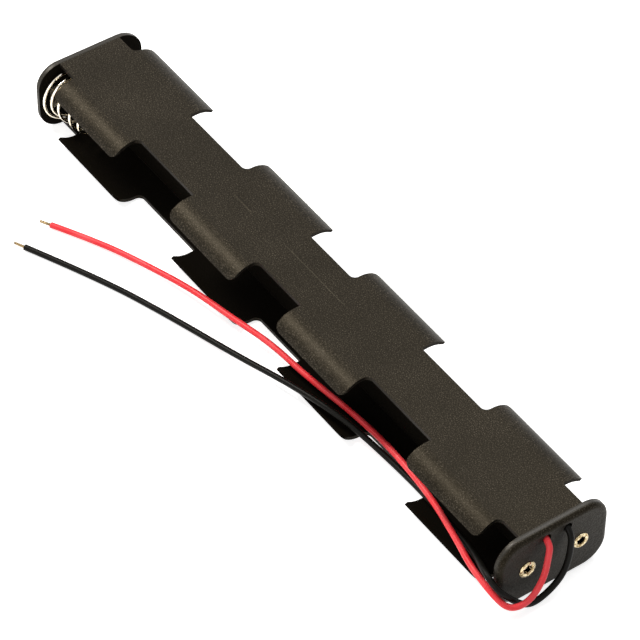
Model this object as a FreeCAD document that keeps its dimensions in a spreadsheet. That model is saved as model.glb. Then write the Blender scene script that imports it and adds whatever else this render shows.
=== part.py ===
"""Side-entry battery holder for eight round AA cells, two rows of four in line.

One black moulding carries riveted contacts, conical springs and two free leads.
Frame: +X along the rows towards the lead end, +Y across, +Z up, origin under the
middle of the moulding at the level of the surface it stands on. Millimetres.
"""
import FreeCAD
import Part
import math
import os

import Sketcher

V = FreeCAD.Vector
doc = FreeCAD.newDocument("cell_holder")

# Driving dimensions

sheet = doc.addObject("Spreadsheet::Sheet", "Sizes")
SIZES = {
    "cell_length": 50.5,
    "cells_in_row": 4,
    "contact_room": 7.4,
    "end_wall": 2.4,
    "overall_width": 33.9,
    "overall_height": 21.8,
    "shell_wall": 1.1,
    "lip_wall": 0.5,
    "row_pitch": 16.6,
    "flat_half_width": 10.5,
    "tab_bend_radius": 7.25,
    "tab_bend_angle": 60.0,
    "neck_half_width": 8.3,
    "end_neck_half_width": 9.8,
    "tab_length": 30.2,
    "end_notch": 7.6,
    "side_notch": 26.8,
    "notch_corner": 1.8,
    "notch_heel": 0.4,
    "tab_corner": 2.3,
    "plate_corner": 7.1,
    "plate_rounding": 1.5,
    "web_thickness": 1.5,
    "slot_height": 8.0,
    "slot_depth": 3.6,
    "eyelet_barrel": 1.5,
    "eyelet_bore": 1.1,
    "eyelet_head": 2.4,
    "eyelet_dome": 0.6,
    "eyelet_roll": 0.5,
    "eyelet_play": 0.05,
    "star_gap": 0.35,
    "star_depth": 0.75,
    "plate_metal": 0.4,
    "contact_width": 10.6,
    "contact_height": 10.0,
    "tag_width": 2.4,
    "tag_play": 0.15,
    "blank_corner": 1.2,
    "strip_play": 0.3,
    "solder_radius": 1.5,
    "solder_rise": 0.75,
    "solder_drop": 0.4,
    "spring_wire": 0.9,
    "spring_base_radius": 7.8,
    "spring_tip_radius": 4.9,
    "spring_play": 0.08,
    "spring_length": 15.5,
    "near_spring_start": 337.0,
    "far_spring_start": 88.0,
    "lead_diameter": 1.7,
    "lead_hole": 2.5,
    "lead_inside": 0.3,
    "strand_diameter": 0.9,
    "strand_length": 3.6,
    "strand_taper": 0.5,
    "red_hole_side": -2.7,
    "black_hole_side": 3.8,
    "lead_hole_drop": 3.0,
}
for row, (alias, number) in enumerate(SIZES.items(), start=1):
    sheet.set("A%d" % row, alias)
    sheet.set("B%d" % row, str(number))
    sheet.setAlias("B%d" % row, alias)
doc.recompute()


def size(alias):
    """Value of one driving dimension, read from the sheet."""
    return float(sheet.get(alias))


def bound(text):
    """Expression text in which each #name stands for a cell of the sheet."""
    return text.replace("#", "Sizes.")


LENGTH = size("cells_in_row") * size("cell_length") + size("contact_room") + 2 * size("end_wall")
HALF = LENGTH / 2
TOP = size("overall_height")
INNER_FACE = HALF - size("end_wall")
ROW_SIDE = size("row_pitch") / 2
AXIS_HEIGHT = TOP / 2
LEAD_HEIGHT = TOP - size("lead_hole_drop")
ARC = size("tab_bend_radius")
WALL = size("shell_wall")
LIP = size("lip_wall")
FLAT = size("flat_half_width")
BEND = math.radians(size("tab_bend_angle"))
METAL = size("plate_metal")
NEAR_ENOUGH = WALL / 8
EXACT = WALL / 100
LENGTH_TEXT = "(#cells_in_row * #cell_length + #contact_room + 2 * #end_wall)"


def origin_plane(body, role):
    """One of the body's own origin planes, found by its role."""
    return [item for item in body.Origin.OriginFeatures if item.Role == role][0]


def sketch_on(body, role, offset, name):
    """Empty sketch on an origin plane of the body, moved off along its normal."""
    drawing = body.newObject("Sketcher::SketchObject", name)
    drawing.AttachmentSupport = [(origin_plane(body, role), "")]
    drawing.MapMode = "FlatFace"
    drawing.AttachmentOffset = FreeCAD.Placement(V(0, 0, offset), FreeCAD.Rotation())
    return drawing


def feature(body, kind, name, profile, **settings):
    """Sketch-based feature with its settings, kept as the body's tip."""
    made = body.newObject("PartDesign::" + kind, name)
    made.Profile = profile
    for key, value in settings.items():
        setattr(made, key, value)
    doc.recompute()
    return made


def outline(drawing, corners):
    """Closed loop of lines and arcs.

    Each corner is (u, v) for a line to the next one, or (u, v, mid) for an arc
    that passes through the point mid on its way to the next one.
    """
    for index, corner in enumerate(corners):
        end = corners[(index + 1) % len(corners)]
        start_point = V(corner[0], corner[1], 0)
        end_point = V(end[0], end[1], 0)
        if len(corner) == 3:
            middle = V(corner[2][0], corner[2][1], 0)
            drawing.addGeometry(Part.Arc(start_point, middle, end_point), False)
        else:
            drawing.addGeometry(Part.LineSegment(start_point, end_point), False)


def rounded_box(low_u, low_v, high_u, high_v, radius):
    """Corners of a rectangle with four equal quarter-circle corners."""
    cut = radius * (1 - math.sqrt(0.5))
    return [
        (low_u + radius, low_v),
        (high_u - radius, low_v, (high_u - cut, low_v + cut)),
        (high_u, low_v + radius),
        (high_u, high_v - radius, (high_u - cut, high_v - cut)),
        (high_u - radius, high_v),
        (low_u + radius, high_v, (low_u + cut, high_v - cut)),
        (low_u, high_v - radius),
        (low_u, low_v + radius, (low_u + cut, low_v + cut)),
    ]


# Moulded holder: two curved shells, a web between the rows and two end plates


def shell_profile():
    """Section across the rows: both shells and the web as one closed outline."""
    half_web = size("web_thickness") / 2
    lip_reach = (ARC - LIP) * math.sin(BEND)
    lip_drop = ARC - (ARC - LIP) * math.cos(BEND) - WALL
    inner = (lip_reach ** 2 + lip_drop ** 2) / (2 * lip_drop)
    inner_bend = math.asin(lip_reach / inner)

    def placed(across, rise, side, level):
        return (side * across, TOP - rise if level > 0 else rise)

    def outside(angle, side, level):
        """Point of the outer surface, a turn of angle round the bend."""
        return placed(FLAT + ARC * math.sin(angle), ARC - ARC * math.cos(angle), side, level)

    def inside(angle, side, level):
        """Point of the inner surface, whose larger bend thins the wall towards the lip."""
        return placed(FLAT + inner * math.sin(angle), WALL + inner - inner * math.cos(angle), side, level)

    def flange(side, level):
        """Inner surface out to the lip, round it, and back along the outside."""
        return [
            placed(half_web, WALL, side, level),
            inside(0, side, level) + (inside(inner_bend / 2, side, level),),
            inside(inner_bend, side, level),
            outside(BEND, side, level) + (outside(BEND / 2, side, level),),
            outside(0, side, level),
        ]

    def flange_back(side, level):
        """The same stretch walked the other way, from the outside to the web."""
        return [
            outside(0, side, level) + (outside(BEND / 2, side, level),),
            outside(BEND, side, level),
            inside(inner_bend, side, level) + (inside(inner_bend / 2, side, level),),
            inside(0, side, level),
            placed(half_web, WALL, side, level),
        ]

    return flange(1, 1) + flange_back(-1, 1) + flange(-1, -1) + flange_back(1, -1)


holder = doc.addObject("PartDesign::Body", "holder_body")
section = sketch_on(holder, "YZ_Plane", 0, "ShellSection")
outline(section, shell_profile())
shells = feature(holder, "Pad", "Shells", section, Midplane=True)
shells.setExpression("Length", bound(LENGTH_TEXT + " - 2 * #end_wall"))

half_width = size("overall_width") / 2
for end, name in ((-1, "FarPlate"), (1, "NearPlate")):
    face = sketch_on(holder, "YZ_Plane", end * INNER_FACE, name + "Face")
    outline(face, rounded_box(-half_width, 0, half_width, TOP, size("plate_corner")))
    plate = feature(holder, "Pad", name, face, Reversed=end < 0)
    plate.setExpression("Length", bound("#end_wall"))


def notch_stations():
    """Start and end along X of each gap between tabs, the end gaps included."""
    middle = (LENGTH - 2 * size("end_wall") - 2 * size("end_notch")
              - 4 * size("tab_length") - 2 * size("side_notch"))
    gaps = [size("end_notch"), size("side_notch"), middle, size("side_notch"), size("end_notch")]
    place = -INNER_FACE
    stations = []
    for gap in gaps:
        stations.append((place, place + gap))
        place += gap + size("tab_length")
    return stations


def notch_loop(start, finish, side):
    """Plan of one gap: open to the outside, and shallower next to an end wall.

    Of its two inner corners one is well rounded: the far one on the side of the
    leads, the near one on the other side. A corner against an end wall is square.
    """
    at_far, at_near = start < EXACT - INNER_FACE, finish > INNER_FACE - EXACT
    neck = side * size("end_neck_half_width" if at_far or at_near else "neck_half_width")
    beyond = side * (FLAT + 2 * ARC)
    far_radius, near_radius = size("notch_corner"), size("notch_heel")
    if side > 0:
        far_radius, near_radius = near_radius, far_radius
    corners = [(start, beyond)]
    if at_far:
        corners.append((start, neck))
    else:
        cut = far_radius * (1 - math.sqrt(0.5))
        corners.append((start, neck + side * far_radius, (start + cut, neck + side * cut)))
        corners.append((start + far_radius, neck))
    if at_near:
        corners.append((finish, neck))
    else:
        cut = near_radius * (1 - math.sqrt(0.5))
        corners.append((finish - near_radius, neck, (finish - cut, neck + side * cut)))
        corners.append((finish, neck + side * near_radius))
    return corners + [(finish, beyond)]


plan = sketch_on(holder, "XY_Plane", 0, "NotchPlan")
for start, finish in notch_stations():
    for side in (-1, 1):
        outline(plan, notch_loop(start, finish, side))
notches = feature(holder, "Pocket", "Notches", plan, Type=1, Midplane=True)

# The web stops short of both end walls at mid height: room for the strip and the wide turns
slots_face = sketch_on(holder, "XZ_Plane", 0, "WebSlotFaces")
SLOT_LOW = AXIS_HEIGHT - size("slot_height") / 2
SLOT_HIGH = AXIS_HEIGHT + size("slot_height") / 2
for end in (-1, 1):
    outline(slots_face, [
        (end * INNER_FACE, SLOT_LOW),
        (end * (INNER_FACE - size("slot_depth")), SLOT_LOW),
        (end * (INNER_FACE - size("slot_depth")), SLOT_HIGH),
        (end * INNER_FACE, SLOT_HIGH),
    ])
slots = feature(holder, "Pocket", "WebSlots", slots_face, Midplane=True)
slots.setExpression("Length", bound("2 * #web_thickness"))


def drill(name, end, spots, radius_text):
    """Round holes through one end plate, all of one bound radius."""
    holes = sketch_on(holder, "YZ_Plane", end * HALF, name + "Spots")
    for across, height in spots:
        index = holes.addGeometry(Part.Circle(V(across, height, 0), V(0, 0, 1), 1.0), False)
        constraint = holes.addConstraint(Sketcher.Constraint("Radius", index, 1.0))
        holes.setExpression("Constraints[%d]" % constraint, bound(radius_text))
    cut = feature(holder, "Pocket", name, holes, Reversed=end < 0)
    cut.setExpression("Length", bound("1.1 * #end_wall"))
    return cut


EYELET_SPOTS = [(-ROW_SIDE, AXIS_HEIGHT), (ROW_SIDE, AXIS_HEIGHT)]
for end, name in ((-1, "FarEyeletHoles"), (1, "NearEyeletHoles")):
    drill(name, end, EYELET_SPOTS, "#eyelet_barrel + #eyelet_play")
LEAD_SPOTS = [(size("red_hole_side"), LEAD_HEIGHT), (size("black_hole_side"), LEAD_HEIGHT)]
drill("LeadHoles", 1, LEAD_SPOTS, "#lead_hole / 2")
doc.recompute()


def edge_names(shape, wanted):
    """Names of the edges for which wanted says yes."""
    return ["Edge%d" % (i + 1) for i, edge in enumerate(shape.Edges) if wanted(edge)]


def tab_corner_edge(edge):
    """Short edge across the wall at the two corners of a tab's lip."""
    middle = edge.CenterOfMass
    lip = ARC - LIP / 2
    across = FLAT + lip * math.sin(BEND)
    rise = ARC - lip * math.cos(BEND)
    at_lip = abs(abs(middle.y) - across) < NEAR_ENOUGH
    at_level = min(abs(middle.z - rise), abs(middle.z - TOP + rise)) < NEAR_ENOUGH
    on_tab = abs(middle.x) < INNER_FACE - size("end_notch") / 2
    return at_lip and at_level and on_tab and abs(edge.Length - LIP) < EXACT


def plate_rim_edge(edge):
    """Edge of the outer face of either end plate."""
    box = edge.BoundBox
    flat = box.XLength < EXACT and abs(abs(edge.CenterOfMass.x) - HALF) < EXACT
    reach = max(abs(box.YMin), abs(box.YMax)) > half_width - size("plate_corner") - NEAR_ENOUGH
    return flat and reach and box.DiagonalLength > 4 * size("eyelet_barrel")


def fillet(name, wanted, radius_text):
    """Fillet on every edge of the tip that wanted picks."""
    tip = holder.Tip
    picked = edge_names(tip.Shape, wanted)
    print(name, "edges", len(picked))
    made = holder.newObject("PartDesign::Fillet", name)
    made.Base = (tip, picked)
    made.setExpression("Radius", bound(radius_text))
    doc.recompute()
    return made


fillet("TabCorners", tab_corner_edge, "#tab_corner")
fillet("PlateRims", plate_rim_edge, "#plate_rounding")
sub_parts = [holder]


def solid(label, shape):
    """Sub-part whose shape is worked out here from the sheet's values."""
    made = doc.addObject("Part::Feature", label)
    made.Label = label
    place = shape.Placement
    made.Shape = shape
    made.Placement = place
    sub_parts.append(made)
    return made


def turned_end(shape, end):
    """Shape drawn at the near end, turned half round Z when it belongs at the far end."""
    if end < 0:
        shape.rotate(V(0, 0, 0), V(0, 0, 1), 180)
    return shape


# Eyelets: hollow rivets with a domed head inside and a star-rolled end outside


def eyelet(label, end, row, stack):
    """Rivet of one row, turned about X, clamping a stack of metal to the end wall.

    Drawn at the near end: row is +1 for the row at the right hand of someone who
    looks out through the end wall, -1 for the other one.
    """
    bore, barrel = size("eyelet_bore"), size("eyelet_barrel")
    head, dome, roll = size("eyelet_head"), size("eyelet_dome"), size("eyelet_roll")
    seat = INNER_FACE - stack
    outside = [
        (seat, barrel), (seat, head), (seat - dome, 0.7 * head), (seat - dome, bore),
        (HALF + 0.4 * roll, bore), (HALF + roll, bore + 0.5 * roll), (HALF + roll, head - 0.8 * roll),
        (HALF, head - 0.1 * roll), (HALF, barrel),
    ]
    loop = [V(x, radius, 0) for x, radius in outside]
    ring = Part.Face(Part.makePolygon(loop + [loop[0]])).revolve(V(0, 0, 0), V(1, 0, 0), 360)
    splits = []
    reach = size("star_depth") + bore
    for step in range(3):
        split = Part.makeBox(roll, size("star_gap"), 2 * reach)
        split.translate(V(HALF + 0.35 * roll, -size("star_gap") / 2, -reach))
        split.rotate(V(0, 0, 0), V(1, 0, 0), 60.0 * step)
        splits.append(split)
    ring = ring.cut(splits)
    ring.translate(V(0, row * ROW_SIDE, AXIS_HEIGHT))
    return solid(label, turned_end(ring, end))


eyelet("near_left_eyelet", 1, -1, METAL)
eyelet("near_right_eyelet", 1, 1, METAL + size("spring_wire"))
eyelet("far_right_eyelet", -1, -1, METAL)
eyelet("far_left_eyelet", -1, 1, METAL + size("spring_wire"))

# Contacts: stamped sheet on the inner faces of the end walls


def blank(low_y, high_y, low_z, high_z, radius):
    """Flat stamped blank with rounded corners, lying on the near wall."""
    corners = rounded_box(low_y, low_z, high_y, high_z, radius)
    edges = []
    for index, corner in enumerate(corners):
        target = corners[(index + 1) % len(corners)]
        begin, finish = V(0, corner[0], corner[1]), V(0, target[0], target[1])
        if len(corner) == 3:
            middle = V(0, corner[2][0], corner[2][1])
            edges.append(Part.Arc(begin, middle, finish).toShape())
        else:
            edges.append(Part.LineSegment(begin, finish).toShape())
    sheet_metal = Part.Face(Part.Wire(edges)).extrude(V(METAL, 0, 0))
    sheet_metal.translate(V(INNER_FACE - METAL, 0, 0))
    return sheet_metal


def rivet_hole(row):
    """Cylinder that clears an eyelet's barrel through a blank."""
    radius = size("eyelet_barrel") + size("eyelet_play")
    start = V(INNER_FACE - 2 * METAL, row * ROW_SIDE, AXIS_HEIGHT)
    return Part.makeCylinder(radius, 3 * METAL, start, V(1, 0, 0))


PLATE_REACH = size("contact_width") / 2
PLATE_RISE = size("contact_height") / 2
TAG_TOP = LEAD_HEIGHT - size("lead_diameter") / 2 - size("tag_play")


def tag_contact(label, row, hole_side):
    """Contact of one row at the lead end, with a solder tag that reaches up under its lead."""
    middle = row * ROW_SIDE
    body = blank(middle - PLATE_REACH, middle + PLATE_REACH,
                 AXIS_HEIGHT - PLATE_RISE, AXIS_HEIGHT + PLATE_RISE, size("blank_corner"))
    half_tag = size("tag_width") / 2
    tag = blank(hole_side - half_tag, hole_side + half_tag, AXIS_HEIGHT, TAG_TOP, size("blank_corner") / 2)
    return solid(label, body.fuse(tag).removeSplitter().cut(rivet_hole(row)))


tag_contact("positive_contact", -1, size("red_hole_side"))
tag_contact("negative_contact", 1, size("black_hole_side"))

bridge_reach = ROW_SIDE + PLATE_REACH
bridge = blank(-bridge_reach, bridge_reach, SLOT_LOW + size("strip_play"), SLOT_HIGH - size("strip_play"),
               size("blank_corner"))
solid("bridge_strip", turned_end(bridge.cut([rivet_hole(-1), rivet_hole(1)]), -1))

# Springs: one length of wire each, clamped under an eyelet and wound to a narrowing coil


POINTS_PER_TURN = 16
WIRE_SIDES = 6


def coil_line(start_angle):
    """Middle line of a near spring, from the loop round its rivet to its free end.

    Stations give turn, radius and rise: the loop under the rivet's head, the run
    out to the wide base turn, the step in to the flat second turn, then the
    narrowing coil that closes on its last turn.
    """
    wire = size("spring_wire")
    base, tip, rise = size("spring_base_radius"), size("spring_tip_radius"), size("spring_length") - wire
    loop_radius = size("eyelet_barrel") + wire / 2 + size("spring_play")
    flare = base - tip
    stations = [
        (0.0, loop_radius, 0.0), (0.45, loop_radius, 0.0), (1.05, base, 0.0), (1.45, base, 0.05 * rise),
        (2.05, tip + 0.58 * flare, 0.11 * rise), (2.45, tip + 0.45 * flare, 0.16 * rise),
        (3.25, tip + 0.38 * flare, 0.34 * rise), (4.25, tip + 0.21 * flare, 0.68 * rise),
        (5.2, tip + 0.03 * flare, 0.92 * rise), (6.2, tip, rise),
    ]
    points = []
    for count in range(int(round(stations[-1][0] * POINTS_PER_TURN)) + 1):
        turn = count / POINTS_PER_TURN
        low = max(index for index, station in enumerate(stations[:-1]) if station[0] <= turn + 1e-9)
        (turn_a, radius_a, rise_a), (turn_b, radius_b, rise_b) = stations[low], stations[low + 1]
        share = min(1.0, (turn - turn_a) / (turn_b - turn_a))
        smooth = share * share * (3 - 2 * share)
        radius = radius_a + (radius_b - radius_a) * smooth
        angle = math.radians(start_angle) - 2 * math.pi * turn
        points.append(V(
            INNER_FACE - METAL - wire / 2 - rise_a - (rise_b - rise_a) * share,
            ROW_SIDE + radius * math.cos(angle),
            AXIS_HEIGHT + radius * math.sin(angle)))
    return points


def spring(label, end, start_angle):
    """Conical spring of one row: a ruled loft through wire sections square to its line."""
    line = coil_line(start_angle)
    radius = size("spring_wire") / 2
    sections = []
    for index, point in enumerate(line):
        ahead = (line[min(index + 1, len(line) - 1)] - line[max(index - 1, 0)]).normalize()
        outward = V(1, 0, 0).cross(ahead).normalize()
        inward = ahead.cross(outward)
        ring = []
        for side in range(WIRE_SIDES):
            angle = 2 * math.pi * (side + 0.5) / WIRE_SIDES
            ring.append(point + outward * (radius * math.cos(angle)) + inward * (radius * math.sin(angle)))
        sections.append(Part.makePolygon(ring + [ring[0]]))
    return solid(label, turned_end(Part.makeLoft(sections, True, True), end))


spring("near_spring", 1, size("near_spring_start"))
spring("far_spring", -1, size("far_spring_start"))

# Leads: insulated wires soldered to the tags, led out over the end wall and along one side

LEAD_START = INNER_FACE - METAL - size("lead_inside")
LEAD_SIDES = 10
RED_ROUTE = [
    (108.5, -2.7, 18.8), (109.9, -4.3, 14.4), (111.4, -6.4, 10.8), (112.5, -10.2, 7.3),
    (112.5, -14.2, 5.9), (110.9, -17.1, 5.8), (107.5, -18.4, 7.6), (103.3, -18.5, 8.4),
    (97.0, -18.0, 8.8), (87.2, -15.1, 7.8), (71.3, -11.0, 5.8), (54.1, -9.1, 4.7),
    (38.1, -9.3, 4.3), (18.3, -12.0, 4.3), (3.7, -13.5, 5.3), (-9.6, -16.6, 5.3),
    (-25.8, -18.7, 3.8), (-42.5, -22.7, 1.7), (-57.2, -27.9, 1.0), (-70.5, -35.1, 0.9),
]
BLACK_ROUTE = [
    (108.5, 3.8, 18.8), (109.7, 3.0, 12.8), (110.4, 1.0, 7.1), (110.5, -2.7, 3.3),
    (110.7, -7.8, 1.6), (110.7, -11.5, 2.9), (109.6, -15.5, 7.0), (107.7, -18.2, 10.5),
    (102.7, -18.1, 12.0), (94.1, -14.7, 8.7), (81.1, -11.9, 4.9), (69.3, -10.3, 3.1),
    (56.4, -10.4, 2.9), (40.3, -12.5, 4.7), (30.3, -15.1, 6.0), (16.2, -18.0, 4.6),
    (-0.7, -21.6, 1.8), (-24.1, -27.9, 0.9), (-45.4, -35.3, 0.9), (-67.2, -45.5, 0.9),
]


def tangent_path(points):
    """Wire of straight runs joined by tangent arcs, with the smallest arc radius.

    Each arc starts 0.45 of the shorter of its two runs before its point.
    """
    edges, radii = [], []
    place = points[0]
    for before, corner, after in zip(points, points[1:], points[2:]):
        coming, going = corner - before, after - corner
        trim = 0.45 * min(coming.Length, going.Length)
        half_turn = coming.getAngle(going) / 2
        radius = trim / math.tan(half_turn)
        coming.normalize()
        going.normalize()
        inward = (going - coming).normalize()
        begin, finish = corner - coming * trim, corner + going * trim
        middle = corner + inward * (radius / math.cos(half_turn) - radius)
        edges.append(Part.LineSegment(place, begin).toShape())
        edges.append(Part.Arc(begin, middle, finish).toShape())
        radii.append(radius)
        place = finish
    edges.append(Part.LineSegment(place, points[-1]).toShape())
    return Part.Wire(edges), radii


def lead(label, hole_side, route):
    """Insulated lead from its solder joint to its stripped end."""
    points = [V(LEAD_START, hole_side, LEAD_HEIGHT)] + [V(*point) for point in route]
    path, radii = tangent_path(points)
    rim = Part.Circle(points[0], points[1] - points[0], size("lead_diameter") / 2).toShape()
    section_face = Part.Face(Part.makePolygon(rim.discretize(LEAD_SIDES + 1)))
    tube = path.makePipe(section_face)
    share = tube.Volume / (path.Length * section_face.Area)
    print(label, "length %.1f" % path.Length, "volume over section times length %.4f" % share)
    print(label, "arc radii", " ".join("%.1f" % radius for radius in radii))
    solid(label, tube)
    along = (points[-1] - points[-2]).normalize()
    strands, taper = size("strand_diameter") / 2, size("strand_taper")
    straight = size("strand_length") - taper
    core = Part.makeCylinder(strands, straight, points[-1], along)
    tapered = Part.makeCone(strands, strands / 2, taper, points[-1] + along * straight, along)
    solid(label + "_tip", core.fuse(tapered).removeSplitter())
    return tube


def solder_joint(label, lead_tube, hole_side):
    """Low mound on the tag that holds the lead's inner end."""
    radius = size("solder_radius")
    tag_face = INNER_FACE - METAL
    centre = V(tag_face + radius - size("solder_rise"), hole_side, TAG_TOP - size("solder_drop"))
    mound = Part.makeSphere(radius, centre)
    corner = V(tag_face, centre.y - 2 * radius, centre.z - 2 * radius)
    behind = Part.makeBox(2 * radius, 4 * radius, 4 * radius, corner)
    return solid(label, mound.cut([behind, lead_tube]))


red_tube = lead("red_lead", size("red_hole_side"), RED_ROUTE)
black_tube = lead("black_lead", size("black_hole_side"), BLACK_ROUTE)
solder_joint("red_solder_joint", red_tube, size("red_hole_side"))
solder_joint("black_solder_joint", black_tube, size("black_hole_side"))

# Check and write


def report(parts):
    """Stop on any failed object, then write one file for each sub-part."""
    for item in doc.Objects:
        if "Invalid" in item.State or "Error" in item.State:
            raise RuntimeError("failed object %s %s" % (item.Name, item.State))
    os.makedirs("parts", exist_ok=True)
    for item in parts:
        shape = item.Shape
        if shape.isNull() or not shape.isValid():
            raise RuntimeError("bad shape " + item.Label)
        shape.exportStep("parts/%s.step" % item.Label)
        box = shape.BoundBox
        print("%-18s solids %d volume %9.2f  x %8.2f %8.2f  y %7.2f %7.2f  z %6.2f %6.2f" % (
            item.Label, len(shape.Solids), shape.Volume,
            box.XMin, box.XMax, box.YMin, box.YMax, box.ZMin, box.ZMax))


doc.recompute()
report(sub_parts)
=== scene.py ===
"""Side-entry holder for round AA cells: the looks of its moulding, metal parts and leads.

Metres, in the frame of the solids: +X along the rows towards the lead end, +Z up.
"""

import math

import bpy
import numpy as np
from mathutils import Matrix, Vector


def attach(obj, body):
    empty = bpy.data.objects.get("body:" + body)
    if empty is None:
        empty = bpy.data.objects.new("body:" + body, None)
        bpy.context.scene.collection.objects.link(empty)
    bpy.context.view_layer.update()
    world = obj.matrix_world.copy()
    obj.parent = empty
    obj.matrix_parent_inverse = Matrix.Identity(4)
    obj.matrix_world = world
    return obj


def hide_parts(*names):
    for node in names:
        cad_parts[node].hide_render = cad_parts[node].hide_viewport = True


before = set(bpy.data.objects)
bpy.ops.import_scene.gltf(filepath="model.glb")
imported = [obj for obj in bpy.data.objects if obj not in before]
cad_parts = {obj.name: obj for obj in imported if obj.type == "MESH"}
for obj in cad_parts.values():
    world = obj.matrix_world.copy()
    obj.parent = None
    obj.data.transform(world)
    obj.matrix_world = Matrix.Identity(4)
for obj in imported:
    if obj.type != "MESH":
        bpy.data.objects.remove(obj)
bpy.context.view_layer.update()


# Camera: fitted to the outline and the edges in the photograph, a long lens from the lead
# end's left with a slight roll. The shift puts the lens axis where the fit has it.
MM = 0.001
IMAGE = 640
FOCAL_PX = 3559.17
AXIS_PX = (324.91, 295.75)
LOOK_AT = np.array([0.0, 6.43, 8.5]) * MM
DISTANCE = 941.58 * MM
AZIMUTH, ELEVATION, ROLL = math.radians(-35.85), math.radians(45.34), math.radians(0.99)

back = np.array([
    math.cos(AZIMUTH) * math.cos(ELEVATION), math.sin(AZIMUTH) * math.cos(ELEVATION),
    math.sin(ELEVATION)])
right = np.cross(-back, (0.0, 0.0, 1.0))
right /= np.linalg.norm(right)
up = np.cross(right, -back)
view = np.eye(4)
view[:3, 0] = right * math.cos(ROLL) + up * math.sin(ROLL)
view[:3, 1] = up * math.cos(ROLL) - right * math.sin(ROLL)
view[:3, 2] = back
view[:3, 3] = LOOK_AT + back * DISTANCE
lens = bpy.data.cameras.new("camera")
lens.sensor_width = 36.0
lens.lens = FOCAL_PX / IMAGE * lens.sensor_width
lens.shift_x = (IMAGE / 2 - AXIS_PX[0]) / IMAGE
lens.shift_y = (AXIS_PX[1] - IMAGE / 2) / IMAGE
lens.clip_start, lens.clip_end = 0.05, 20.0
camera = bpy.data.objects.new("camera", lens)
camera.matrix_world = Matrix(view.tolist())
bpy.context.scene.collection.objects.link(camera)
bpy.context.scene.camera = camera


# Leads: two stranded wires in soft PVC, soldered inside the end wall and led out through
# it. They drop down the wall, turn round its lower corner and run back along one side.
LEAD_RADIUS = 0.85 * MM
RED_POINTS = np.array([
    (104.0, -2.7, 18.8), (108.5, -2.7, 18.8), (109.9, -4.3, 14.4), (111.4, -6.4, 10.8),
    (112.5, -10.2, 7.3), (112.5, -14.2, 5.9), (110.9, -17.1, 5.8), (107.5, -18.4, 7.6),
    (103.3, -18.5, 8.4), (97.0, -18.0, 8.8), (87.2, -15.1, 7.8), (71.3, -11.0, 5.8),
    (54.1, -9.1, 4.7), (38.1, -9.3, 4.3), (18.3, -12.0, 4.3), (3.7, -13.5, 5.3),
    (-9.6, -16.6, 5.3), (-25.8, -18.7, 3.8), (-42.5, -22.7, 1.7), (-57.2, -27.9, 1.0),
    (-70.5, -35.1, 0.9)]) * MM
BLACK_POINTS = np.array([
    (104.0, 3.8, 18.8), (108.5, 3.8, 18.8), (109.7, 3.0, 12.8), (110.4, 1.0, 7.1),
    (110.5, -2.7, 3.3), (110.7, -7.8, 1.6), (110.7, -11.5, 2.9), (109.6, -15.5, 7.0),
    (107.7, -18.2, 10.5), (102.7, -18.1, 12.0), (94.1, -14.7, 8.7), (81.1, -11.9, 4.9),
    (69.3, -10.3, 3.1), (56.4, -10.4, 2.9), (40.3, -12.5, 4.7), (30.3, -15.1, 6.0),
    (16.2, -18.0, 4.6), (-0.7, -21.6, 1.8), (-24.1, -27.9, 0.9), (-45.4, -35.3, 0.9),
    (-67.2, -45.5, 0.9)]) * MM


def linear(hex_colour):
    """Linear RGBA of an sRGB hex colour."""
    parts = [int(hex_colour[index:index + 2], 16) / 255 for index in (1, 3, 5)]
    return [part / 12.92 if part <= 0.04045 else ((part + 0.055) / 1.055) ** 2.4
            for part in parts] + [1.0]


def add_node(tree, kind, *sources, stops=(), **settings):
    """New shader node. Its inputs take the sources in order, and the settings by name.

    A setting that is one of the node's own fields goes there. A source or setting is a
    value, an output, or a node, which stands for its first output in use. The stops of a
    colour ramp are pairs of a position and a linear colour.
    """
    made = tree.nodes.new("ShaderNode" + kind)
    inputs = dict(enumerate(sources))
    for name, value in settings.items():
        if hasattr(made, name):
            setattr(made, name, value)
        else:
            inputs[name.replace("_", " ")] = value
    for key, value in inputs.items():
        if isinstance(value, bpy.types.Node):
            value = next(output for output in value.outputs if output.enabled)
        if isinstance(value, bpy.types.NodeSocket):
            tree.links.new(value, made.inputs[key])
        else:
            made.inputs[key].default_value = value
    for index, (position, colour) in enumerate(stops):
        elements = made.color_ramp.elements
        element = elements[index] if index < len(elements) else elements.new(position)
        element.position, element.color = position, colour
    return made


def new_material(name):
    """Node material with an empty tree, and that tree."""
    material = bpy.data.materials.new(name)
    material.use_nodes = True
    material.node_tree.nodes.clear()
    return material, material.node_tree


def pvc(name, colour, worn, shine):
    """Extruded soft PVC: an even colour with a faint waxy bloom, satin, with fine drag marks.

    The bloom is 6 mm wide noise that lightens the colour a little. The marks are
    noise of 0.3 mm, far coarser than the real ones, so that they show.
    """
    material, tree = new_material(name)
    place = add_node(tree, "TexCoord").outputs["Object"]
    bloom = add_node(tree, "TexNoise", Vector=place, Scale=170.0, Detail=3.0)
    tone = add_node(tree, "ValToRGB", bloom, stops=[(0.35, linear(colour)), (0.7, linear(worn))])
    marks = add_node(tree, "TexNoise", Vector=place, Scale=3300.0, Detail=2.0)
    relief = add_node(tree, "Bump", Height=marks, Strength=0.25, Distance=0.04 * MM)
    gloss = add_node(tree, "MapRange", bloom, To_Min=0.34, To_Max=0.46)
    surface = add_node(
        tree, "BsdfPrincipled", Base_Color=tone, Roughness=gloss, Normal=relief, IOR=1.53,
        Specular_IOR_Level=shine)
    add_node(tree, "OutputMaterial", surface)
    return material


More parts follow.
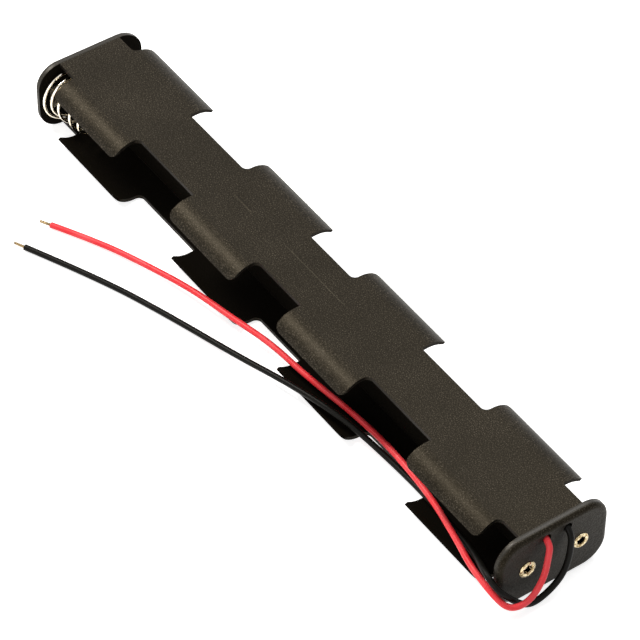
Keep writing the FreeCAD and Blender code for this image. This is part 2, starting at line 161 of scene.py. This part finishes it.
def lead(name, points, material):
    """Smooth round wire along a quadratic spline whose control points are the route's."""
    curve = bpy.data.curves.new(name, "CURVE")
    curve.dimensions = "3D"
    curve.bevel_depth = LEAD_RADIUS
    curve.bevel_resolution = 6
    curve.use_fill_caps = True
    spline = curve.splines.new("NURBS")
    spline.points.add(len(points) - 1)
    spline.points.foreach_set("co", np.column_stack([points, np.ones(len(points))]).ravel())
    spline.order_u = 3
    spline.use_endpoint_u = True
    spline.resolution_u = 14
    spline.use_smooth = True
    made = bpy.data.objects.new(name, curve)
    bpy.context.scene.collection.objects.link(made)
    curve.materials.append(material)
    return made


red_wire = lead("red_wire", RED_POINTS, pvc("red_pvc", "#f4363e", "#f74e54", 0.22))
black_wire = lead("black_wire", BLACK_POINTS, pvc("black_pvc", "#0b0a08", "#12110e", 0.08))
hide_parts("red_lead")
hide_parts("black_lead")
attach(red_wire, "root")
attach(black_wire, "root")


# Stripped ends: a few millimetres of the leads' fine copper strands, tinned and twisted
# together. Each end is a bundle of strands wound round each other.
STRAND_LENGTH = 3.6 * MM
STRAND_RADIUS = 0.13 * MM
BUNDLE_RADIUS = 0.28 * MM
STRANDS, STATIONS = 7, 24
TWIST = 1.3


def swept_tube(line, radius, sides):
    """Vertices and faces of a round tube along a line of points, closed by end caps.

    Ring k has its circle in the plane square to the line there: one axis is the
    cross product of X and the line's direction, the other is square to both.
    """
    ahead = np.gradient(line, axis=0)
    ahead /= np.linalg.norm(ahead, axis=1)[:, None]
    outward = np.cross((1.0, 0.0, 0.0), ahead)
    outward /= np.linalg.norm(outward, axis=1)[:, None]
    inward = np.cross(ahead, outward)
    angle = np.linspace(0.0, 2 * math.pi, sides, endpoint=False)[None, :, None]
    ring = outward[:, None] * np.cos(angle) + inward[:, None] * np.sin(angle)
    corners = (line[:, None] + radius * ring).reshape(-1, 3)
    step, side = np.meshgrid(np.arange(len(line) - 1), np.arange(sides), indexing="ij")
    near_ring, far_ring, after = step * sides, (step + 1) * sides, (side + 1) % sides
    walls = np.stack([
        near_ring + side, near_ring + after, far_ring + after, far_ring + side], axis=-1)
    start_cap = list(range(sides))[::-1]
    end_cap = list(range(len(corners) - sides, len(corners)))
    return corners, walls.reshape(-1, 4).tolist() + [start_cap, end_cap]


def mesh_piece(name, corners, faces, material):
    """Smooth-shaded mesh object from vertices and faces, with its material."""
    mesh = bpy.data.meshes.new(name)
    mesh.from_pydata(np.asarray(corners).tolist(), [], faces)
    mesh.polygons.foreach_set("use_smooth", np.ones(len(mesh.polygons), dtype=bool))
    mesh.materials.append(material)
    made = bpy.data.objects.new(name, mesh)
    bpy.context.scene.collection.objects.link(made)
    return made


def joined(parts):
    """One list of vertices and one of faces from several."""
    corners, faces, start = [], [], 0
    for part_corners, part_faces in parts:
        corners.append(part_corners)
        faces += [[index + start for index in face] for face in part_faces]
        start += len(part_corners)
    return np.concatenate(corners), faces


def plated_metal(name, light, dark, roughness, shade=None):
    """Nickel-plated or tinned metal: brighter and duller in 0.8 mm patches.

    The patches are noise that turns the dark colour to the light one and roughens it
    by up to 0.12. shade, where given, makes the final colour from that one.
    """
    material, tree = new_material(name)
    place = add_node(tree, "TexCoord").outputs["Object"]
    patches = add_node(tree, "TexNoise", Vector=place, Scale=1200.0, Detail=4.0)
    colour = add_node(
        tree, "ValToRGB", patches, stops=[(0.38, linear(dark)), (0.62, linear(light))])
    if shade:
        colour = shade(tree, colour)
    gloss = add_node(tree, "MapRange", patches, To_Min=roughness, To_Max=roughness + 0.12)
    relief = add_node(tree, "Bump", Height=patches, Strength=0.15, Distance=0.05 * MM)
    surface = add_node(
        tree, "BsdfPrincipled", Base_Color=colour, Roughness=gloss, Normal=relief, Metallic=1.0)
    add_node(tree, "OutputMaterial", surface)
    return material


def stripped_end(name, points, opening, material):
    """Twisted bundle: one straight strand and six wound round it.

    Strand k lies on a helix of the bundle's radius with 1.3 turns, and spreads
    towards its end as the square of the way along. The strands end at 97, 92 and
    87 % of the length in turn, as a knife leaves them.
    """
    along = (points[-1] - points[-2]) / np.linalg.norm(points[-1] - points[-2])
    across = np.cross((0.0, 0.0, 1.0), along)
    across /= np.linalg.norm(across)
    above = np.cross(along, across)
    way = np.linspace(0.0, 1.0, STATIONS)
    strands = []
    for strand in range(STRANDS):
        spread = 0.0 if strand == 0 else BUNDLE_RADIUS * (1.0 + opening * way ** 2)
        angle = 2 * math.pi * (strand / (STRANDS - 1) + TWIST * way)
        reach = STRAND_LENGTH * (0.97 - 0.05 * (strand % 3))
        line = (points[-1] + np.outer(reach * way, along) + np.outer(spread * np.cos(angle), across)
                + np.outer(spread * np.sin(angle), above))
        strands.append(swept_tube(line, STRAND_RADIUS, sides=8))
    return mesh_piece(name, *joined(strands), material)


tinned_copper = plated_metal("tinned_copper", "#bba47c", "#6f5a3c", 0.25)
red_strands = stripped_end("red_strands", RED_POINTS, 0.1, tinned_copper)
black_strands = stripped_end("black_strands", BLACK_POINTS, 0.05, tinned_copper)
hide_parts("red_lead_tip")
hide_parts("black_lead_tip")
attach(red_strands, "root")
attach(black_strands, "root")


# Moulding: one piece of black ABS. The mould's outer faces are spark-eroded, and that grain
# scatters the light to a dark warm grey. The inner faces, the sides and the web are painted
# near black: partly the polished core's own darker finish, partly painted shade.
HALF_LENGTH = 107.1 * MM
INNER_FACE = 104.7 * MM
AXIS_HEIGHT = 10.9 * MM
# Marks on the upper face: colour, strength, whether the grain breaks the mark up, and its
# middle, half width and faded edge in millimetres, first across the part and then along it.
MARKS = {
    "parting line": ("#a39a85", 0.16, True, (0.9, 0.06, 0.12), (2.9, 11.0, 4.0)),
    "scuff": ("#8a7f6c", 0.15, True, (0.75, 0.2, 0.4), (-30.0, 3.4, 1.5)),
    "scratch": ("#050505", 0.85, False, (1.05, 0.12, 0.12), (-30.0, 3.2, 1.2)),
}


def grey(level):
    """RGBA of one linear value."""
    return (level, level, level, 1.0)


def near(tree, value, middle, half, fade):
    """1 where a value is within half of the middle, falling to 0 over the fade beyond."""
    away = add_node(tree, "Math", value, middle, operation="SUBTRACT")
    away = add_node(tree, "Math", away, operation="ABSOLUTE")
    return add_node(
        tree, "MapRange", away, From_Min=half, From_Max=half + fade, To_Min=1.0, To_Max=0.0)


def outer_faces(tree, x, y, z, lean_x, lean_z):
    """Shares of a point in the shells' outer faces and in the end walls' outer faces.

    A shell's face is an outer one where its normal points away from mid height, and its
    cut edge lies between the two. The web between the rows is left out: it reaches 1.5 mm
    to each side of the middle and 9.4 mm up and down from mid height. An end wall lies
    beyond its inner face, and only that face points back along the part.
    """
    upwards = add_node(tree, "Math", z, AXIS_HEIGHT, operation="SUBTRACT")
    upwards = add_node(tree, "Math", upwards, operation="SIGN")
    away = add_node(tree, "Math", lean_z, upwards, operation="MULTIPLY")
    shell = add_node(tree, "MapRange", away, From_Min=-0.3, From_Max=0.35)
    web = add_node(
        tree, "Math", near(tree, y, 0.0, 1.5 * MM, 1.0 * MM),
        near(tree, z, AXIS_HEIGHT, 9.4 * MM, 0.4 * MM), operation="MULTIPLY")
    off_web = add_node(tree, "Math", 1.0, web, operation="SUBTRACT")
    from_middle = add_node(tree, "Math", x, operation="ABSOLUTE")
    beyond = add_node(tree, "Math", from_middle, INNER_FACE - 0.05 * MM, operation="GREATER_THAN")
    before = add_node(tree, "Math", 1.0, beyond, operation="SUBTRACT")
    on_side = add_node(
        tree, "Math", before, add_node(tree, "Math", shell, off_web, operation="MULTIPLY"),
        operation="MULTIPLY")
    endwards = add_node(
        tree, "Math", lean_x, add_node(tree, "Math", x, operation="SIGN"), operation="MULTIPLY")
    not_back = add_node(tree, "Math", endwards, -0.5, operation="GREATER_THAN")
    return on_side, add_node(tree, "Math", beyond, not_back, operation="MULTIPLY")


def marked(tree, colour, x, y, grain):
    """Colour with the marks on it, each a soft-edged bar along the part."""
    for mark, strength, broken, across, along in MARKS.values():
        bar = add_node(
            tree, "Math", near(tree, y, *(size * MM for size in across)),
            near(tree, x, *(size * MM for size in along)), operation="MULTIPLY")
        if broken:
            bar = add_node(tree, "Math", bar, grain, operation="MULTIPLY")
        share = add_node(tree, "Math", bar, strength, operation="MULTIPLY")
        colour = add_node(tree, "Mix", data_type="RGBA", Factor=share, A=colour, B=linear(mark))
    return colour


def end_wall_gloss(tree, x, lean_z, flat, grain):
    """Weight of the coat on the end walls: their rims were polished in the mould.

    The rims' gloss is strongest on the upper face, 0.7 mm from the inner side. On the flat
    faces the coat lies on the grain's peaks only.
    """
    from_middle = add_node(tree, "Math", x, operation="ABSOLUTE")
    depth = add_node(tree, "MapRange", from_middle, From_Min=INNER_FACE, From_Max=HALF_LENGTH)
    polish = add_node(tree, "ValToRGB", depth, stops=[
        (0.0, grey(0.3)), (0.3, grey(0.85)), (0.5, grey(0.35)), (0.65, grey(0.05))])
    facing_up = add_node(tree, "Math", lean_z, 0.1, operation="MAXIMUM")
    rim = add_node(tree, "Math", facing_up, polish, operation="MULTIPLY")
    peaks = add_node(tree, "MapRange", grain, From_Min=0.35, From_Max=0.65, To_Min=0.0, To_Max=0.18)
    peaks = add_node(tree, "Math", flat, peaks, operation="MULTIPLY")
    return add_node(tree, "Math", rim, peaks, operation="MAXIMUM")


def grained_abs():
    """Moulded ABS: warm dark grey where grained, near black inside, with a few marks.

    The grain is noise of 0.3 mm, coarser than the mould's 0.1 mm so that it shows, and
    14 mm noise mottles it by 12 %. The inner faces, the sides and the web are painted near
    black: partly the polished core's own darker finish, partly painted shade in the bays.
    The end walls go 35 % of the way to black, and their flat outer faces 85 %, as painted
    shade. The gloss is a thin coat over a dull base.
    """
    material, tree = new_material("grained_abs")
    place = add_node(tree, "TexCoord").outputs["Object"]
    x, y, z = add_node(tree, "SeparateXYZ", place).outputs
    normal = add_node(tree, "NewGeometry").outputs["Normal"]
    lean_x, _, lean_z = add_node(tree, "SeparateXYZ", normal).outputs
    on_side, at_end = outer_faces(tree, x, y, z, lean_x, lean_z)
    grained_and_lit = add_node(tree, "Math", on_side, at_end, operation="MAXIMUM")
    steep = add_node(tree, "Math", lean_x, operation="ABSOLUTE")
    flat = add_node(tree, "MapRange", steep, From_Min=0.86, From_Max=0.97)
    grain = add_node(tree, "TexNoise", Vector=place, Scale=3300.0, Detail=1.0, Roughness=0.5)
    mottle = add_node(tree, "TexNoise", Vector=place, Scale=70.0, Detail=3.0)

    mixed = add_node(tree, "Mix", Factor=0.12, A=grain, B=mottle)
    tone = add_node(tree, "ValToRGB", mixed, stops=[
        (0.34, linear("#040303")), (0.5, linear("#14120e")),
        (0.64, linear("#39342d")), (0.76, linear("#625c51"))])
    # Painted shade: the end walls go darker, their flat outer faces most.
    end_shade = add_node(tree, "Math", flat, 0.5, operation="MULTIPLY")
    end_shade = add_node(tree, "Math", 0.35, end_shade, operation="ADD")
    end_shade = add_node(tree, "Math", at_end, end_shade, operation="MULTIPLY")
    outer = add_node(
        tree, "Mix", data_type="RGBA", Factor=end_shade, A=marked(tree, tone, x, y, grain),
        B=linear("#090909"))
    # Painted shade: faces that point towards mid height, the sides and the web go near black.
    lit_outer_share = add_node(tree, "Math", grained_and_lit, 2.0, operation="POWER")
    colour = add_node(
        tree, "Mix", data_type="RGBA", Factor=lit_outer_share, A=linear("#040405"), B=outer)

    end_coat = end_wall_gloss(tree, x, lean_z, flat, grain)
    end_coat = add_node(tree, "Math", at_end, end_coat, operation="MULTIPLY")
    side_coat = add_node(tree, "Math", on_side, 2.0, operation="POWER")
    side_coat = add_node(tree, "Math", side_coat, 0.08, operation="MULTIPLY")
    coat = add_node(tree, "Math", end_coat, side_coat, operation="ADD")
    satin = add_node(tree, "MapRange", mottle, To_Min=0.42, To_Max=0.52)
    inner_share = add_node(tree, "Math", 1.0, grained_and_lit, operation="SUBTRACT")
    gloss = add_node(tree, "Math", satin, inner_share, operation="MAXIMUM")
    relief = add_node(tree, "Bump", Height=grain, Strength=0.5, Distance=0.08 * MM)
    surface = add_node(
        tree, "BsdfPrincipled", Base_Color=colour, Roughness=gloss, Normal=relief,
        Specular_IOR_Level=0.12, Specular_Tint=linear("#ffe2a6"), Coat_Weight=coat,
        Coat_Normal=relief, Coat_Roughness=0.4, Coat_IOR=1.5)
    add_node(tree, "OutputMaterial", surface)
    return material


def dress(node, material):
    """Gives a solid's own mesh its material in place of the one it came with."""
    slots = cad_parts[node].data.materials
    slots.clear()
    slots.append(material)


dress("holder_body", grained_abs())


# Contacts: blanks of nickel-plated steel sheet riveted to the end walls, and the strip
# that joins the rows at the far end. Solder holds the leads' inner ends to the tags.
contact_sheet = plated_metal("nickelled_sheet", "#d9d2c3", "#b6ad9b", 0.28)
solder = plated_metal("tin_lead_solder", "#c9cacb", "#9c9ea1", 0.3)
for node in ("positive_contact", "negative_contact", "bridge_strip"):
    dress(node, contact_sheet)
for node in ("red_solder_joint", "black_solder_joint"):
    dress(node, solder)


# Eyelets: hollow rivets of nickel-plated brass, their outer ends rolled over by a star
# punch, which splits the rolled rim into six lobes round the bore.
ROW_SIDE = 8.3 * MM
SHEET, WIRE = 0.4 * MM, 0.9 * MM
# Radii of the barrel, of its bore and of the head inside, then how high the rolled rim
# and that head stand.
BARREL, BORE, HEAD = 1.5 * MM, 1.1 * MM, 2.4 * MM
RIM_HEIGHT, HEAD_HEIGHT = 0.5 * MM, 0.6 * MM
# Each eyelet: its end and row, the thickness of what it clamps to the wall, the radius of
# its rolled rim, and how far the punch splayed that rim.
EYELETS = {
    "near_left_eyelet": (1, -1, SHEET, 2.5 * MM, 0.42),
    "near_right_eyelet": (1, 1, SHEET + WIRE, 2.35 * MM, 0.3),
    "far_right_eyelet": (-1, -1, SHEET, 2.4 * MM, 0.35),
    "far_left_eyelet": (-1, 1, SHEET + WIRE, 2.4 * MM, 0.35),
}


def eyelet_surface(end, side, stack, rim, splay):
    """Closed surface of one eyelet, its profile carried round the bore.

    The profile is half an ellipse for the rolled rim, straight lines for the bore and
    barrel, and for the head inside half an ellipse with its sine to the power 0.7, which
    is fuller. Where the rim split, six pulses of 8 degrees push it out and down by up to
    splay times its width: from nothing 40 % of the way over it to all of it at 70 %.
    """
    seat = INNER_FACE - stack
    arc = np.linspace(0.0, math.pi, 15)
    rim_middle, rim_half = (rim + BORE) / 2, (rim - BORE) / 2
    head_middle, head_half = (HEAD + BORE) / 2, (HEAD - BORE) / 2
    radius = np.concatenate([
        rim_middle + rim_half * np.cos(arc), head_middle - head_half * np.cos(arc),
        [BARREL, BARREL]])
    height = np.concatenate([
        HALF_LENGTH + RIM_HEIGHT * np.sin(arc), seat - HEAD_HEIGHT * np.sin(arc) ** 0.7,
        [seat, HALF_LENGTH]])
    inner_half = np.clip((arc / math.pi - 0.4) / 0.3, 0.0, 1.0)
    inner_half = np.pad(inner_half, (0, len(radius) - len(arc)))
    sides = 96
    angle = np.linspace(0.0, 2 * math.pi, sides, endpoint=False)
    off_split = (angle % (math.pi / 3)) - math.pi / 6
    pulse = np.exp(-(off_split / math.radians(8.0)) ** 2)[:, None] * inner_half
    across = radius + pulse * splay * 2 * rim_half
    along = height - pulse * splay * RIM_HEIGHT
    place = np.stack([
        along, side * ROW_SIDE + across * np.cos(angle)[:, None],
        AXIS_HEIGHT + across * np.sin(angle)[:, None]], axis=-1) * (end, end, 1.0)
    count = len(radius)
    step, point = np.meshgrid(np.arange(sides) * count, np.arange(count), indexing="ij")
    after, beside = (step + count) % (sides * count), (point + 1) % count
    faces = np.stack([step + point, after + point, after + beside, step + beside], axis=-1)
    return place.reshape(-1, 3), faces.reshape(-1, 4).tolist()


def bore_shade(tree, colour):
    """Colour that turns to dark brown in the bores, which little light reaches.

    A point is in a bore where it is about as near to a row's axis as the bore's wall, and
    not much further from the middle of an end wall than half its thickness.
    """
    place = add_node(tree, "TexCoord").outputs["Object"]
    x, y, z = add_node(tree, "SeparateXYZ", place).outputs
    from_middle = add_node(tree, "Math", x, operation="ABSOLUTE")
    off_side = add_node(tree, "Math", y, operation="ABSOLUTE")
    off_side = add_node(tree, "Math", off_side, ROW_SIDE, operation="SUBTRACT")
    off_axis = add_node(tree, "Math", z, AXIS_HEIGHT, operation="SUBTRACT")
    squares = [
        add_node(tree, "Math", off, off, operation="MULTIPLY") for off in (off_side, off_axis)]
    from_axis = add_node(tree, "Math", *squares, operation="ADD")
    from_axis = add_node(tree, "Math", from_axis, operation="SQRT")
    wall_middle = (INNER_FACE + HALF_LENGTH) / 2
    in_bore = add_node(
        tree, "Math", near(tree, from_axis, 0.0, BORE + 0.1 * MM, 0.2 * MM),
        near(tree, from_middle, wall_middle, 1.3 * MM, 0.3 * MM), operation="MULTIPLY")
    return add_node(tree, "Mix", data_type="RGBA", Factor=in_bore, A=colour, B=linear("#2b2013"))


rivet_plate = plated_metal("nickelled_brass", "#f0dfb8", "#8f784d", 0.1, bore_shade)
for node, settings in EYELETS.items():
    rivet = mesh_piece(node.replace("eyelet", "rivet"), *eyelet_surface(*settings), rivet_plate)
    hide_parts(node)
    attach(rivet, "root")


# Springs: nickel-plated steel wire, one loop round the rivet, a wide flat turn on the end
# wall and a coil that narrows towards the cell and closes on its last turn.
BASE_RADIUS, TIP_RADIUS, LOOP_RADIUS = 7.8 * MM, 4.9 * MM, 2.03 * MM
COIL_RISE = 14.6 * MM
TURNS = 6.2
# Each coil: the solid that it replaces, its end, and the angle in degrees where it starts.
SPRINGS = {"near_coil": ("near_spring", 1, 337.0), "far_coil": ("far_spring", -1, 88.0)}


def coil_line(end, start_angle):
    """Middle line of one spring: radius and rise change with the turn, the angle evenly.

    Between stations of turn, radius and rise the radius follows a smooth step, and
    the rise a straight line, then both are averaged over an eighth of a turn.
    """
    flare = BASE_RADIUS - TIP_RADIUS
    turns = np.array([0.0, 0.45, 1.05, 1.45, 2.05, 2.45, 3.25, 4.25, 5.2, TURNS])
    radii = np.concatenate([
        [LOOP_RADIUS, LOOP_RADIUS, BASE_RADIUS, BASE_RADIUS],
        TIP_RADIUS + flare * np.array([0.58, 0.45, 0.38, 0.21, 0.03, 0.0])])
    rises = COIL_RISE * np.array([0.0, 0.0, 0.0, 0.05, 0.11, 0.16, 0.34, 0.68, 0.92, 1.0])
    per_turn = 56
    turn = np.linspace(0.0, TURNS, int(TURNS * per_turn) + 1)
    low = np.clip(np.searchsorted(turns, turn, side="right") - 1, 0, len(turns) - 2)
    share = (turn - turns[low]) / (turns[low + 1] - turns[low])
    smooth = share * share * (3 - 2 * share)
    radius = radii[low] + (radii[low + 1] - radii[low]) * smooth
    rise = rises[low] + (rises[low + 1] - rises[low]) * share
    window = np.full(per_turn // 8, 8 / per_turn)
    spread = len(window) // 2
    radius = np.convolve(np.pad(radius, spread, mode="edge"), window, mode="valid")
    rise = np.convolve(np.pad(rise, spread, mode="edge"), window, mode="valid")
    angle = math.radians(start_angle) - 2 * math.pi * turn
    return np.stack([
        INNER_FACE - SHEET - WIRE / 2 - rise, ROW_SIDE + radius * np.cos(angle),
        AXIS_HEIGHT + radius * np.sin(angle)], axis=1) * (end, end, 1.0)


spring_plate = plated_metal("nickelled_spring_wire", "#fffaf0", "#eadcc0", 0.08)
for name, (node, end, start_angle) in SPRINGS.items():
    tube = swept_tube(coil_line(end, start_angle), WIRE / 2, sides=14)
    coil = mesh_piece(name, *tube, spring_plate)
    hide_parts(node)
    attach(coil, "root")


# Studio: a pale floor under the part, a white surround for the camera and for
# reflections, and broad soft lamps above it.
WHITE = linear("#ffffff")
FLOOR_REACH, FLOOR_DROP = 1.5, 0.1 * MM


def looked_at(tree):
    """1 for camera, transmission and glossy rays, 0 for the rays that light things."""
    ray = add_node(tree, "LightPath").outputs
    through = add_node(
        tree, "Math", ray["Is Camera Ray"], ray["Is Transmission Ray"], operation="MAXIMUM")
    return add_node(tree, "Math", through, ray["Is Glossy Ray"], operation="MAXIMUM")


def pale_floor():
    """Matt white board with a weak soft shadow; it glows white where it is looked at."""
    material, tree = new_material("white_board")
    board = add_node(tree, "BsdfDiffuse", Color=linear("#f0f0f0"))
    glow = add_node(tree, "Emission", Color=WHITE, Strength=0.75)
    both = add_node(tree, "AddShader", board, glow)
    choice = add_node(tree, "MixShader", looked_at(tree), board, both)
    add_node(tree, "OutputMaterial", choice)
    return material


def lamp(name, place, width, power, colour=(1.0, 1.0, 1.0)):
    """Square area lamp aimed at the middle of the part."""
    light = bpy.data.lights.new(name, "AREA")
    light.size = width
    light.energy = power
    light.color = colour
    made = bpy.data.objects.new(name, light)
    made.location = place
    made.rotation_euler = (-Vector(place)).to_track_quat("-Z", "Y").to_euler()
    bpy.context.scene.collection.objects.link(made)


floor_corners = np.array([(-1, -1, 0), (1, -1, 0), (1, 1, 0), (-1, 1, 0)]) * FLOOR_REACH
floor_corners[:, 2] = -FLOOR_DROP
floor = mesh_piece("floor", floor_corners, [[0, 1, 2, 3]], pale_floor())

world = bpy.data.worlds.new("surround")
world.use_nodes = True
bpy.context.scene.world = world
sky = world.node_tree
sky.nodes.clear()
sky_level = add_node(sky, "MapRange", looked_at(sky), To_Min=0.2, To_Max=1.0)
add_node(sky, "OutputWorld", add_node(sky, "Background", Color=WHITE, Strength=sky_level))

lamp("back_softbox", (-0.56, -0.27, 0.76), 0.3, 8.0, (1.0, 0.96, 0.89))
lamp("overhead", (-0.1, 0.38, 0.85), 0.5, 3.5)
lamp("front_fill", (0.35, -0.8, 0.45), 0.6, 2.5)

view_settings = bpy.context.scene.view_settings
view_settings.view_transform = "Standard"
